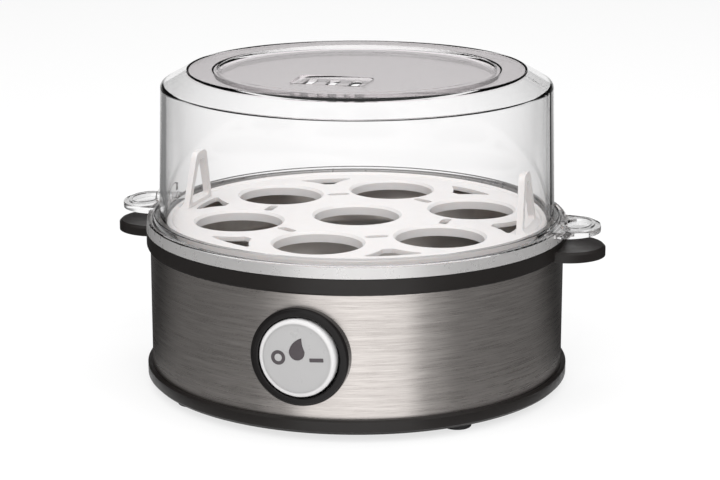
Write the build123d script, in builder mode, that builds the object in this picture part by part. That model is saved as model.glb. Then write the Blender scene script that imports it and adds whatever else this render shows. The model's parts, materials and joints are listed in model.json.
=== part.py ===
from build123d import *
import os
from math import cos, degrees, pi, radians, sin

# Electric egg cooker in millimetres, +Z up, standing on the plane z = 0.
# The front with the switch faces -Y and the side tabs point along X.

# Running, seating and press clearances
slip = 0.4
seat_gap = 0.25
nest_gap = 0.1
pin_gap = 0.05

# Steel sleeve
casing_r = 83.0
sleeve_wall = 0.6
sleeve_show = 47.7
sleeve_tuck = 1.5

# Bottom housing
foot_stand = 3.0
ring_proud = 2.0
ring_height = 5.8
ring_bevel = 1.3
ring_lip = 0.7
pan_floor = 2.2
inner_lip_wall = 2.0
inner_lip_height = 4.0
pan_vent_count = 10
pan_vent_r = 50.0
pan_vent_length = 24.0
pan_vent_width = 3.0

# Feet
foot_r = 5.6
foot_inset = 10.0
foot_first_angle = 45.0
foot_recess = 0.6
foot_round = 0.7
foot_peg_r = 2.4
foot_barb = 0.6
foot_barb_taper = 15.0

# Upper rim and its tabs
rim_proud = 1.5
rim_height = 6.4
rim_roll = 1.3
upstand_height = 2.9
upstand_wall = 2.3
shelf_drop = 1.4
shelf_wall = 2.4
shelf_width = 4.6
rim_skirt = 3.0
base_tab_r = 15.5
base_tab_out = 16.1
base_tab_thick = 4.1
base_tab_bevel = 0.9

# Long housing screws, their posts and bosses
post_r = 4.3
post_inset = 5.1
post_angle = 22.5
post_joint_z = 36.0
post_seat_z = 24.0
housing_screw_r = 1.7
housing_screw_head_r = 3.0
housing_screw_head = 2.2
housing_screw_length = 22.0

# Heating dish, gasket and spreader
dish_sheet = 0.8
dish_mouth_gap = 2.2
dish_draft = 7.2
dish_depth = 15.0
dish_bend = 4.0
gasket_thick = 0.8
gasket_width = 2.8
spreader_r = 50.0
spreader_thick = 3.0

# Heating element
element_ring_r = 38.0
element_tube_r = 3.2
element_sink = 1.2
element_gap = 70.0
element_pin_r = 1.6
element_pin_drop = 9.0

# Clamp strips that pull the dish down on its gasket
strip_thick = 1.2
strip_width = 10.0
strip_clear = 1.3
strip_angles = (90, 225, 315)
strip_eye_r = 4.4
strip_boss_r = 3.4
strip_boss_seat = 1.6
strip_screw_r = 1.5
strip_screw_head_r = 2.8
strip_screw_head = 2.0
strip_screw_length = 10.0
strip_hole_depth = 11.0

# Thermostat, its bracket, thermal fuse and earth tag
thermostat_r = 8.0
thermostat_cap = 3.0
thermostat_body_r = 6.4
thermostat_height = 9.0
thermostat_tag = 5.0
bracket_half = 27.0
bracket_width = 17.0
bracket_sheet = 1.0
bracket_foot = 8.0
bracket_flat = 10.0
bracket_screw_r = 1.5
bracket_screw_head_r = 2.7
bracket_screw_head = 1.8
bracket_screw_length = 3.5
fuse_r = 2.0
fuse_wire_r = 0.5
fuse_length = 14.0
fuse_place_y = -24.0
fuse_tail = 5.0
tag_width = 6.3
tag_length = 14.0
tag_sheet = 0.8
tag_place_y = 22.0

# Switch: bezel, rocker, pivot and body
switch_z = 32.8
bezel_r = 18.9
bezel_proud = 3.3
bezel_round = 1.6
bezel_in_round = 0.5
button_r = 15.0
button_gap = 0.7
bezel_neck_wall = 1.2
pivot_depth = 5.3
neck_to_pivot = 7.0
button_back = 2.4
button_proud = 1.1
button_round = 1.3
button_face_r = 13.2
button_dish = 0.35
rocker_tilt = 4.0
pivot_pin_r = 1.0
pivot_pin_half = 11.2
hub_half = 3.0
hub_inner = 5.6
hub_outer = 8.0
ear_thick = 2.4
ear_half = 3.2
ear_over = 1.7
switch_flange = 2.0
switch_half_x = 11.5
switch_half_z = 13.0
switch_depth = 16.0
blade_width = 4.8
blade_sheet = 0.8
blade_length = 8.0
blade_pitch = 7.0
drop_r = 3.0
drop_side_x = 2.94
drop_side_y = 0.6
drop_right_x = 2.0
drop_right_y = 3.3
drop_left_x = 1.05
drop_left_y = 3.74
drop_tip_x = 1.75
drop_tip_y = 5.5
drop_up = 2.4
lens_thick = 1.6
lamp_r = 2.0
lamp_length = 7.0

# Cord inlet bushing and terminal block
inlet_clear = 1.2
inlet_bore_r = 3.3
inlet_neck_r = 6.3
inlet_flange_r = 8.5
inlet_flange = 2.0
inlet_inner_depth = 2.6
inlet_snout_r = 5.4
inlet_taper = 8.0
block_x = 26.0
block_y = 14.0
block_z = 12.0
block_round = 1.0
block_place_y = 52.0
block_pitch = 7.0
block_screw_r = 1.6
block_well = 4.0
block_screw_height = 3.0
block_entry_z = 4.4

# Internal leads: sleeve radius, bends, and the straight runs that leave each terminal
lead_r = 1.1
lead_bend = 6.0
lead_bend_tight = 4.2
lead_bend_hook = 2.0
lead_live_run = 30.0
lead_live_end = 24.0
lead_switched_run = 18.0
lead_switched_end = 14.0
lead_heater_run = 8.0
lead_heater_side = 4.0
lead_heater_drop = 10.0

# Egg tray
tray_gap = 0.75
tray_plate = 1.8
tray_rise = 3.9
tray_skirt = 1.8
tray_rim_width = 1.9
tray_rim_height = 0.8
tray_turn = 3.5
egg_hole_r = 17.1
egg_ring_inset = 28.4
egg_chamfer = 1.0
collar_wall = 1.5
collar_drop = 2.4
ring_holes = 6
steam_slot_inset = 9.8
steam_slot_length = 10.4
steam_slot_land = 9.2
steam_slot_round = 0.9
small_slot_inset = 11.0
small_slot_length = 9.2
small_slot_width = 3.6
loop_inset = 6.6
loop_lean = 3.0
loop_half = 13.0
loop_height = 22.0
loop_top_half = 5.0
loop_thick = 2.4
loop_round = 4.0
loop_window_half = 9.4
loop_window_low = 1.6
loop_window_top_half = 2.2
loop_window_top = 18.6
loop_window_round = 1.2
loop_foot_reach = 5.2
loop_foot_height = 8.5

# Clear lid
lid_wall = 2.2
lid_inset = 3.05
lid_wall_draft = 1.35
lid_chamfer_width = 10.5
lid_top_band = 12.1
lid_shoulder_rise = 53.4
lid_shoulder_height = 6.0
lid_disc_depth = 2.0
lid_disc_draft = 0.7
lid_skirt = 1.8
lid_flange = 1.8
lid_step = 1.8
lid_step_width = 2.2
lid_skirt_draft = 0.4
lid_crown_round = 1.6
lid_edge_round = 0.8
lid_disc_round = 0.5
lid_step_round = 0.5
lid_flange_round = 0.6
lid_tab_r = 15.3
lid_tab_back = 2.0
lid_tab_thick = 2.4
thumb_x = 5.4
thumb_y = 9.2
thumb_depth = 0.8
thumb_inset = 9.0
thumb_lip = 1.3
thumb_lip_rise = 0.9
gusset_height = 7.4
gusset_length = 7.4
gusset_toe = 0.8
gusset_top = 2.8
gusset_slope = 4.0
gusset_thick = 2.4
vent_count = 3
vent_pitch = 9.1
vent_width = 4.2
vent_length = 14.0
vent_place_x = -4.6
vent_place_y = -21.0
vent_pocket_x = 30.0
vent_pocket_y = 19.5
vent_pocket_depth = 1.1
vent_pocket_round = 3.0

# Heights that follow
pan_z = foot_stand
ring_z = pan_z + ring_height
inlet_z = ring_z + inner_lip_height + inlet_flange_r + inlet_clear
rim_z = ring_z + sleeve_show
ledge_z = rim_z + rim_height
upstand_z = ledge_z + upstand_height
shelf_z = ledge_z - shelf_drop
shelf_under_z = shelf_z - shelf_wall
flange_z = shelf_z + gasket_thick
dish_top_z = flange_z + dish_sheet
dish_floor_z = dish_top_z - dish_depth
dish_under_z = dish_floor_z - dish_sheet
spreader_z = dish_under_z - spreader_thick
tray_low_z = dish_top_z + seat_gap
tray_top_z = tray_low_z + tray_rise
plate_z = tray_top_z - tray_plate
lid_under_z = upstand_z + seat_gap
lid_flange_z = lid_under_z + lid_flange
lid_step_z = lid_flange_z + lid_step
lid_shoulder_z = lid_flange_z + lid_shoulder_rise
lid_top_z = lid_shoulder_z + lid_shoulder_height
lid_disc_z = lid_top_z - lid_disc_depth

# Radii that follow
ring_r = casing_r + ring_proud
rim_r = casing_r + rim_proud
sleeve_in_r = casing_r - sleeve_wall
core_r = sleeve_in_r - nest_gap
upstand_r = rim_r - lid_skirt - slip
upstand_in_r = upstand_r - upstand_wall
dish_flange_r = upstand_in_r - slip
shelf_in_r = upstand_in_r - shelf_width
foot_place_r = ring_r - foot_inset
post_place_r = core_r - post_inset
strip_boss_place_r = shelf_in_r + strip_boss_seat
strip_inner_r = element_ring_r + element_tube_r + strip_clear
base_tab_reach = rim_r + base_tab_out
dish_mouth_r = shelf_in_r - dish_mouth_gap
dish_floor_r = dish_mouth_r - dish_draft
lid_in_r = upstand_in_r - lid_inset
lid_wall_r = lid_in_r + lid_wall
lid_shoulder_r = lid_wall_r - lid_wall_draft
lid_top_r = lid_shoulder_r - lid_chamfer_width
lid_disc_r = lid_top_r - lid_top_band
lid_tab_reach = base_tab_reach - lid_tab_back
thumb_place = lid_tab_reach - thumb_inset
tray_r = lid_in_r - tray_gap
egg_ring_r = tray_r - egg_ring_inset
steam_slot_outer_r = tray_r - steam_slot_inset
steam_slot_inner = steam_slot_outer_r - steam_slot_length
small_slot_place_r = egg_ring_r - small_slot_inset
loop_x = tray_r - loop_inset
bezel_reach = casing_r + bezel_proud
pivot_y = bezel_reach - pivot_depth
bezel_neck_back = pivot_y - neck_to_pivot
button_front = pivot_depth + button_proud
egg_spots = [(0, 0)] + [
    (egg_ring_r * sin(2 * pi * k / ring_holes), -egg_ring_r * cos(2 * pi * k / ring_holes))
    for k in range(ring_holes)
]
post_spots = [
    (sx * post_place_r * cos(radians(post_angle)), sy * post_place_r * sin(radians(post_angle)))
    for sx in (1, -1)
    for sy in (1, -1)
]
strip_spots = [
    (strip_boss_place_r * cos(radians(a)), strip_boss_place_r * sin(radians(a))) for a in strip_angles
]


def half_section(corners, rounding=()):
    """Half section of a turned piece: (radius, height) corners, and (corner number, fillet) pairs."""
    with BuildSketch(Plane.XZ) as half:
        with BuildLine():
            Polyline(*corners, close=True)
        make_face()
        for number, fillet_r in rounding:
            corner = half.vertices().sort_by_distance(Vector(*corners[number]))[0]
            fillet(corner, fillet_r)
    return half.sketch


def lead_along(points, bend):
    """Insulated lead: a round tube along straight runs joined by tangent arcs."""
    with BuildPart() as lead:
        with BuildLine() as route:
            FilletPolyline(*points, radius=bend)
        start = Plane(origin=route.line @ 0, z_dir=route.line % 0)
        with BuildSketch(start):
            Circle(lead_r)
        sweep(path=route.line)
    return lead


os.makedirs("parts", exist_ok=True)

# Bottom housing: black pan with the lower ring, screw posts and cooling slots
with BuildPart() as bottom_housing:
    revolve(
        half_section(
            [
                (0, pan_z),
                (ring_r - ring_bevel, pan_z),
                (ring_r, pan_z + ring_bevel),
                (ring_r, ring_z - ring_lip),
                (ring_r - ring_lip, ring_z),
                (casing_r + nest_gap, ring_z),
                (casing_r + nest_gap, ring_z - sleeve_tuck),
                (core_r, ring_z - sleeve_tuck),
                (core_r, ring_z + inner_lip_height),
                (core_r - inner_lip_wall, ring_z + inner_lip_height),
                (core_r - inner_lip_wall, pan_z + pan_floor),
                (0, pan_z + pan_floor),
            ]
        ),
        axis=Axis.Z,
    )
    with BuildSketch(Plane.XY.offset(pan_z)):
        with Locations(*post_spots):
            Circle(post_r)
    extrude(amount=post_joint_z - pan_z)
    with BuildSketch(Plane.XY.offset(pan_z)):
        with Locations(*post_spots):
            Circle(housing_screw_head_r + slip)
    extrude(amount=post_seat_z - pan_z, mode=Mode.SUBTRACT)
    with BuildSketch(Plane.XY.offset(pan_z)):
        with Locations(*post_spots):
            Circle(housing_screw_r + nest_gap)
    extrude(amount=post_joint_z - pan_z, mode=Mode.SUBTRACT)
    with BuildSketch(Plane.XY.offset(pan_z)):
        with PolarLocations(foot_place_r, 4, start_angle=foot_first_angle):
            Circle(foot_r + nest_gap)
    extrude(amount=foot_recess, mode=Mode.SUBTRACT)
    with BuildSketch(Plane.XY.offset(pan_z)):
        with PolarLocations(foot_place_r, 4, start_angle=foot_first_angle):
            Circle(foot_peg_r + nest_gap)
        with PolarLocations(pan_vent_r, pan_vent_count, start_angle=180 / pan_vent_count):
            SlotOverall(pan_vent_length, pan_vent_width)
    extrude(amount=pan_floor, mode=Mode.SUBTRACT)
bottom_housing.part.label = "bottom_housing"
export_step(bottom_housing.part, "parts/bottom_housing.step")

# Rubber feet: pad below, peg with a barb that snaps over the pan floor
foot_names = ("foot_rear_right", "foot_rear_left", "foot_front_left", "foot_front_right")
for foot_number, foot_name in enumerate(foot_names):
    foot_angle = radians(foot_first_angle + 90 * foot_number)
    foot_spot = (foot_place_r * cos(foot_angle), foot_place_r * sin(foot_angle))
    with BuildPart() as foot:
        with BuildSketch(Plane.XY):
            with Locations(foot_spot):
                Circle(foot_r)
        extrude(amount=pan_z + foot_recess)
        fillet(foot.edges().group_by(Axis.Z)[0], foot_round)
        with BuildSketch(Plane.XY):
            with Locations(foot_spot):
                Circle(foot_peg_r)
        extrude(amount=pan_z + pan_floor + nest_gap)
        with BuildSketch(Plane.XY.offset(pan_z + pan_floor + nest_gap)):
            with Locations(foot_spot):
                Circle(foot_peg_r + foot_barb)
        extrude(amount=foot_peg_r, taper=foot_barb_taper)
    foot.part.label = foot_name
    export_step(foot.part, f"parts/{foot_name}.step")

# Housing screws: pan heads in the posts, threads in the rim's bosses
with BuildPart() as housing_screws:
    with BuildSketch(Plane.XY.offset(post_seat_z)):
        with Locations(*post_spots):
            Circle(housing_screw_head_r)
    extrude(amount=-housing_screw_head)
    with BuildSketch(Plane.XY.offset(post_seat_z - housing_screw_head / 2)):
        with Locations(*post_spots):
            Circle(housing_screw_r)
    extrude(amount=housing_screw_length)
housing_screws.part.label = "housing_screws"
export_step(housing_screws.part, "parts/housing_screws.step")

# Steel sleeve with the holes for the switch and the cord inlet
with BuildPart() as steel_sleeve:
    with BuildSketch(Plane.XY.offset(ring_z - sleeve_tuck)):
        Circle(casing_r)
        Circle(sleeve_in_r, mode=Mode.SUBTRACT)
    extrude(amount=sleeve_show + 2 * sleeve_tuck)
    with BuildSketch(Plane((0, 0, switch_z), x_dir=(1, 0, 0), z_dir=(0, -1, 0))):
        Circle(button_r + button_gap + bezel_neck_wall + nest_gap)
    extrude(amount=ring_r, mode=Mode.SUBTRACT)
    with BuildSketch(Plane((0, 0, inlet_z), x_dir=(-1, 0, 0), z_dir=(0, 1, 0))):
        Circle(inlet_neck_r + nest_gap)
    extrude(amount=ring_r, mode=Mode.SUBTRACT)
steel_sleeve.part.label = "steel_sleeve"
export_step(steel_sleeve.part, "parts/steel_sleeve.step")

# Upper rim: rolled black ring, upstand that the lid fits over, shelf for the dish, side tabs
with BuildPart() as upper_rim:
    for tab_level, tab_layer, tab_taper in (
        (rim_z, base_tab_thick - base_tab_bevel, 0),
        (rim_z + base_tab_thick - base_tab_bevel, base_tab_bevel, 45),
    ):
        with BuildSketch(Plane.XY.offset(tab_level)):
            with Locations((base_tab_reach - base_tab_r, 0), (base_tab_r - base_tab_reach, 0)):
                Circle(base_tab_r)
        extrude(amount=tab_layer, taper=tab_taper)
    with BuildSketch(Plane.XY.offset(rim_z)):
        Circle(rim_r - rim_proud / 2)
    extrude(amount=base_tab_thick, mode=Mode.SUBTRACT)
    revolve(
        half_section(
            [
                (rim_r, ledge_z),
                (rim_r, rim_z),
                (casing_r + nest_gap, rim_z),
                (casing_r + nest_gap, rim_z + sleeve_tuck),
                (core_r, rim_z + sleeve_tuck),
                (core_r, rim_z - rim_skirt),
                (upstand_in_r, rim_z - rim_skirt),
                (upstand_in_r, shelf_under_z),
                (shelf_in_r, shelf_under_z),
                (shelf_in_r, shelf_z),
                (upstand_in_r, shelf_z),
                (upstand_in_r, upstand_z),
                (upstand_r, upstand_z),
                (upstand_r, ledge_z),
            ],
            rounding=((1, rim_roll),),
        ),
        axis=Axis.Z,
    )
    with BuildSketch(Plane.XY.offset(shelf_under_z)):
        with Locations(*post_spots):
            Circle(post_r)
    extrude(amount=post_joint_z - shelf_under_z)
    with BuildSketch(Plane.XY.offset(post_joint_z)):
        with Locations(*post_spots):
            Circle(housing_screw_r + pin_gap)
    extrude(amount=housing_screw_length, mode=Mode.SUBTRACT)
    with BuildSketch(Plane.XY.offset(shelf_under_z)):
        with Locations(*strip_spots):
            Circle(strip_boss_r)
    extrude(amount=spreader_z - shelf_under_z)
    with BuildSketch(Plane.XY.offset(spreader_z)):
        with Locations(*strip_spots):
            Circle(strip_screw_r + pin_gap)
    extrude(amount=strip_hole_depth, mode=Mode.SUBTRACT)
upper_rim.part.label = "upper_rim"
export_step(upper_rim.part, "parts/upper_rim.step")

# Gasket between the rim's shelf and the dish flange
with BuildPart() as dish_gasket:
    with BuildSketch(Plane.XY.offset(shelf_z)):
        Circle(dish_flange_r)
        Circle(dish_flange_r - gasket_width, mode=Mode.SUBTRACT)
    extrude(amount=gasket_thick)
dish_gasket.part.label = "dish_gasket"
export_step(dish_gasket.part, "parts/dish_gasket.step")

# Heating dish: pressed sheet bowl that holds the water
with BuildPart() as heating_dish:
    revolve(
        half_section(
            [
                (0, dish_floor_z),
                (dish_floor_r, dish_floor_z),
                (dish_mouth_r, dish_top_z),
                (dish_flange_r, dish_top_z),
                (dish_flange_r, flange_z),
                (dish_mouth_r + dish_sheet, flange_z),
                (dish_floor_r + dish_sheet, dish_under_z),
                (0, dish_under_z),
            ],
            rounding=((1, dish_bend), (6, dish_bend + dish_sheet), (2, dish_sheet)),
        ),
        axis=Axis.Z,
    )
heating_dish.part.label = "heating_dish"
export_step(heating_dish.part, "parts/heating_dish.step")

# Heat spreader under the dish floor, grooved for the heating tube, drilled for two screws
bracket_screw_x = bracket_half - bracket_foot / 2
with BuildPart() as heat_spreader:
    with BuildSketch(Plane.XY.offset(spreader_z)):
        Circle(spreader_r)
    extrude(amount=spreader_thick)
    with BuildSketch(Plane.XY.offset(spreader_z)):
        with Locations((bracket_screw_x, 0), (-bracket_screw_x, 0)):
            Circle(bracket_screw_r + pin_gap)
    extrude(amount=bracket_screw_length - bracket_sheet, mode=Mode.SUBTRACT)
    with BuildSketch(Plane.XZ):
        with Locations((element_ring_r, spreader_z + element_sink - element_tube_r)):
            Circle(element_tube_r + nest_gap)
    revolve(axis=Axis.Z, mode=Mode.SUBTRACT)
heat_spreader.part.label = "heat_spreader"
export_step(heat_spreader.part, "parts/heat_spreader.step")

# Heating element: tube ring open at the rear, with two cold ends that point down
element_z = spreader_z + element_sink - element_tube_r
element_start = 90 + element_gap / 2
element_sweep = degrees(2 * pi) - element_gap
element_ends = [
    (element_ring_r * cos(radians(a)), element_ring_r * sin(radians(a)))
    for a in (element_start, element_start + element_sweep)
]
with BuildPart() as heating_element:
    element_plane = Plane(
        origin=(0, 0, 0),
        x_dir=(cos(radians(element_start)), sin(radians(element_start)), 0),
        z_dir=(sin(radians(element_start)), -cos(radians(element_start)), 0),
    )
    with BuildSketch(element_plane):
        with Locations((element_ring_r, element_z)):
            Circle(element_tube_r)
    revolve(axis=Axis.Z, revolution_arc=element_sweep)
    with BuildSketch(Plane.XY.offset(element_z)):
        with Locations(*element_ends):
            Circle(element_pin_r)
    extrude(amount=-(element_tube_r + element_pin_drop))
heating_element.part.label = "heating_element"
export_step(heating_element.part, "parts/heating_element.step")

# Clamp strips from the spreader's edge to the rim's short bosses
with BuildPart() as dish_clamps:
    for angle in strip_angles:
        with BuildSketch(Plane.XY.offset(spreader_z).rotated((0, 0, angle))):
            with Locations(((strip_inner_r + strip_boss_place_r) / 2, 0)):
                Rectangle(strip_boss_place_r - strip_inner_r, strip_width)
            with Locations((strip_boss_place_r, 0)):
                Circle(strip_eye_r)
                Circle(strip_screw_r + nest_gap, mode=Mode.SUBTRACT)
        extrude(amount=-strip_thick)
dish_clamps.part.label = "dish_clamps"
export_step(dish_clamps.part, "parts/dish_clamps.step")

# Screws of the clamp strips
with BuildPart() as clamp_screws:
    with BuildSketch(Plane.XY.offset(spreader_z - strip_thick)):
        with Locations(*strip_spots):
            Circle(strip_screw_head_r)
    extrude(amount=-strip_screw_head)
    with BuildSketch(Plane.XY.offset(spreader_z - strip_thick)):
        with Locations(*strip_spots):
            Circle(strip_screw_r)
    extrude(amount=strip_screw_length)
clamp_screws.part.label = "clamp_screws"
export_step(clamp_screws.part, "parts/clamp_screws.step")

# Thermostat pressed on the middle of the spreader, with two tags
thermostat_low_z = spreader_z - thermostat_height
with BuildPart() as thermostat:
    with BuildSketch(Plane.XY.offset(spreader_z)):
        Circle(thermostat_r)
    extrude(amount=-thermostat_cap)
    with BuildSketch(Plane.XY.offset(spreader_z - thermostat_cap)):
        Circle(thermostat_body_r)
    extrude(amount=thermostat_cap - thermostat_height)
    with BuildSketch(Plane.XY.offset(thermostat_low_z)):
        Rectangle(blade_width, 2 * (thermostat_body_r + thermostat_tag))
    extrude(amount=blade_sheet)
thermostat.part.label = "thermostat"
export_step(thermostat.part, "parts/thermostat.step")

# Thermostat bracket: a strap with a hole for the body and two feet on the spreader
bracket_z = spreader_z - thermostat_cap
bracket_step = bracket_half - bracket_foot
with BuildPart() as thermostat_bracket:
    with BuildSketch(Plane.XZ):
        with BuildLine():
            Polyline(
                (bracket_half, spreader_z),
                (bracket_step, spreader_z),
                (bracket_flat, bracket_z),
                (-bracket_flat, bracket_z),
                (-bracket_step, spreader_z),
                (-bracket_half, spreader_z),
                (-bracket_half, spreader_z - bracket_sheet),
                (-bracket_step - bracket_sheet, spreader_z - bracket_sheet),
                (-bracket_flat, bracket_z - bracket_sheet),
                (bracket_flat, bracket_z - bracket_sheet),
                (bracket_step + bracket_sheet, spreader_z - bracket_sheet),
                (bracket_half, spreader_z - bracket_sheet),
                close=True,
            )
        make_face()
    extrude(amount=bracket_width / 2, both=True)
    with BuildSketch(Plane.XY.offset(spreader_z)):
        Circle(thermostat_body_r + nest_gap)
        with Locations((bracket_screw_x, 0), (-bracket_screw_x, 0)):
            Circle(bracket_screw_r + nest_gap)
    extrude(amount=-thermostat_height, mode=Mode.SUBTRACT)
thermostat_bracket.part.label = "thermostat_bracket"
export_step(thermostat_bracket.part, "parts/thermostat_bracket.step")

# Two small screws that hold the bracket's feet
with BuildPart() as bracket_screws:
    with BuildSketch(Plane.XY.offset(spreader_z - bracket_sheet)):
        with Locations((bracket_screw_x, 0), (-bracket_screw_x, 0)):
            Circle(bracket_screw_head_r)
    extrude(amount=-bracket_screw_head)
    with BuildSketch(Plane.XY.offset(spreader_z - bracket_sheet)):
        with Locations((bracket_screw_x, 0), (-bracket_screw_x, 0)):
            Circle(bracket_screw_r)
    extrude(amount=bracket_screw_length)
bracket_screws.part.label = "bracket_screws"
export_step(bracket_screws.part, "parts/bracket_screws.step")

# Thermal fuse under the spreader, lying along X with two thin tails
fuse_z = spreader_z - fuse_r
with BuildPart() as thermal_fuse:
    with BuildSketch(Plane.YZ.offset(-fuse_length / 2)):
        with Locations((fuse_place_y, fuse_z)):
            Circle(fuse_r)
    extrude(amount=fuse_length)
    with BuildSketch(Plane.YZ.offset(-fuse_length / 2 - fuse_tail)):
        with Locations((fuse_place_y, fuse_z)):
            Circle(fuse_wire_r)
    extrude(amount=fuse_length + 2 * fuse_tail)
thermal_fuse.part.label = "thermal_fuse"
export_step(thermal_fuse.part, "parts/thermal_fuse.step")

# Earth tag welded to the spreader, its blade turned down for the lead
with BuildPart() as earth_tag:
    with BuildSketch(Plane.XY.offset(spreader_z)):
        with Locations((0, tag_place_y)):
            Rectangle(tag_width, tag_width)
    extrude(amount=-tag_sheet)
    with BuildSketch(Plane.XZ.offset(-tag_place_y - tag_width / 2)):
        with Locations((0, spreader_z - tag_length / 2)):
            Rectangle(tag_width, tag_length)
    extrude(amount=tag_sheet)
earth_tag.part.label = "earth_tag"
export_step(earth_tag.part, "parts/earth_tag.step")

# Switch axis plane: x to the right, y up, z out of the front
switch_plane = Plane((0, 0, switch_z), x_dir=(1, 0, 0), z_dir=(0, -1, 0))
bezel_in_r = button_r + button_gap
bezel_neck_r = bezel_in_r + bezel_neck_wall

# Bezel: domed ring seated on the round sleeve, with a neck through it
with BuildPart() as switch_bezel:
    with BuildSketch(switch_plane.offset(bezel_neck_back)):
        Circle(bezel_r)
    extrude(amount=bezel_reach - bezel_neck_back)
    fillet(switch_bezel.edges().group_by(Axis.Y)[0], bezel_round)
    with BuildSketch(Plane.XY):
        Circle(casing_r)
    extrude(amount=rim_z, mode=Mode.SUBTRACT)
    with BuildSketch(switch_plane.offset(bezel_neck_back)):
        Circle(bezel_neck_r)
    extrude(amount=bezel_reach - bezel_neck_back - bezel_round)
    with BuildSketch(switch_plane.offset(bezel_neck_back)):
        Circle(bezel_in_r)
    extrude(amount=bezel_reach - bezel_neck_back, mode=Mode.SUBTRACT)
    fillet(switch_bezel.edges().group_by(Axis.Y)[0].sort_by(SortBy.RADIUS)[0], bezel_in_round)
switch_bezel.part.label = "switch_bezel"
export_step(switch_bezel.part, "parts/switch_bezel.step")

# Switch body: flange on the bezel's neck, contact box behind it, two ears for the pivot pin
with BuildPart() as switch_body:
    with BuildSketch(switch_plane.offset(bezel_neck_back)):
        Circle(bezel_neck_r)
    extrude(amount=-switch_flange)
    with BuildSketch(switch_plane.offset(bezel_neck_back - switch_flange)):
        Rectangle(2 * switch_half_x, 2 * switch_half_z)
    extrude(amount=-switch_depth)
    with BuildSketch(switch_plane.offset(bezel_neck_back)):
        with Locations((0, hub_outer + slip + ear_thick / 2), (0, -hub_outer - slip - ear_thick / 2)):
            Rectangle(2 * ear_half, ear_thick)
    extrude(amount=pivot_y + ear_over - bezel_neck_back)
    with BuildSketch(Plane.XY.offset(switch_z)):
        with Locations((0, -pivot_y)):
            Circle(pivot_pin_r + pin_gap)
    extrude(amount=pivot_pin_half, both=True, mode=Mode.SUBTRACT)
    with BuildSketch(switch_plane.offset(bezel_neck_back)):
        with Locations((0, drop_up)):
            Circle(lamp_r + nest_gap)
    extrude(amount=-switch_flange, mode=Mode.SUBTRACT)
switch_body.part.label = "switch_body"
export_step(switch_body.part, "parts/switch_body.step")

# Switch terminals: three blades out of the back of the contact box
blade_plane = switch_plane.offset(bezel_neck_back - switch_flange - switch_depth)
with BuildPart() as switch_terminals:
    with BuildSketch(blade_plane):
        with GridLocations(blade_pitch, 0, 3, 1):
            Rectangle(blade_sheet, blade_width)
    extrude(amount=-blade_length)
switch_terminals.part.label = "switch_terminals"
export_step(switch_terminals.part, "parts/switch_terminals.step")

# Pivot pin, upright through the ears and the rocker's hubs
with BuildPart() as rocker_pin:
    with BuildSketch(Plane.XY.offset(switch_z)):
        with Locations((0, -pivot_y)):
            Circle(pivot_pin_r)
    extrude(amount=hub_outer + slip + ear_thick, both=True)
rocker_pin.part.label = "rocker_pin"
export_step(rocker_pin.part, "parts/rocker_pin.step")

# Pilot lamp in the switch body, behind the drop window
with BuildPart() as pilot_lamp:
    with BuildSketch(switch_plane.offset(bezel_neck_back - switch_flange)):
        with Locations((0, drop_up)):
            Circle(lamp_r)
    extrude(amount=lamp_length)
    fillet(pilot_lamp.edges().group_by(Axis.Y)[0], lamp_r / 2)
pilot_lamp.part.label = "pilot_lamp"
export_step(pilot_lamp.part, "parts/pilot_lamp.step")

# Rocker plane: through the pivot, tilted to the off side
tilt = radians(rocker_tilt)
rocker_plane = Plane(
    (0, -pivot_y, switch_z),
    x_dir=(cos(tilt), -sin(tilt), 0),
    z_dir=(-sin(tilt), -cos(tilt), 0),
)


def drop_outline(grow):
    """Drop-shaped face: round below, tip leaning to the right, grown by a clearance."""
    with BuildSketch() as outline:
        with BuildLine():
            bulb = ThreePointArc((-drop_side_x, drop_side_y), (0, -drop_r), (drop_side_x, drop_side_y))
            ThreePointArc(bulb @ 1, (drop_right_x, drop_right_y), (drop_tip_x, drop_tip_y))
            ThreePointArc((drop_tip_x, drop_tip_y), (-drop_left_x, drop_left_y), bulb @ 0)
        make_face()
        if grow:
            offset(amount=grow)
    return outline.sketch


# Rocker button: round cap with a rolled edge and a dished face, two hubs behind it
with BuildPart() as rocker_button:
    with BuildSketch(rocker_plane.offset(button_back)):
        Circle(button_r)
    extrude(amount=button_front - button_back)
    rocker_axis = Axis(rocker_plane.origin, rocker_plane.z_dir)
    fillet(rocker_button.edges().group_by(rocker_axis)[-1], button_round)
    with BuildSketch(rocker_plane.offset(button_front)):
        Circle(button_face_r)
    extrude(amount=-button_dish, mode=Mode.SUBTRACT)
    for side in (1, -1):
        with BuildSketch(rocker_plane):
            with Locations((0, side * (hub_inner + hub_outer) / 2)):
                Rectangle(2 * hub_half, hub_outer - hub_inner)
        extrude(amount=button_back)
        with BuildSketch(Plane.XY.offset(switch_z + side * hub_inner)):
            with Locations((0, -pivot_y)):
                Circle(hub_half)
        extrude(amount=side * (hub_outer - hub_inner))
    with BuildSketch(Plane.XY.offset(switch_z)):
        with Locations((0, -pivot_y)):
            Circle(pivot_pin_r + pin_gap)
    extrude(amount=hub_outer, both=True, mode=Mode.SUBTRACT)
    with BuildSketch(rocker_plane.offset(button_front - button_dish - lens_thick)):
        with Locations((0, drop_up)):
            add(drop_outline(nest_gap))
    extrude(amount=lens_thick, mode=Mode.SUBTRACT)
rocker_button.part.label = "rocker_button"
export_step(rocker_button.part, "parts/rocker_button.step")

# Pilot lens: the drop window, flush with the button's face
with BuildPart() as pilot_lens:
    with BuildSketch(rocker_plane.offset(button_front - button_dish - lens_thick)):
        with Locations((0, drop_up)):
            add(drop_outline(0))
    extrude(amount=lens_thick)
pilot_lens.part.label = "pilot_lens"
export_step(pilot_lens.part, "parts/pilot_lens.step")

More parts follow.
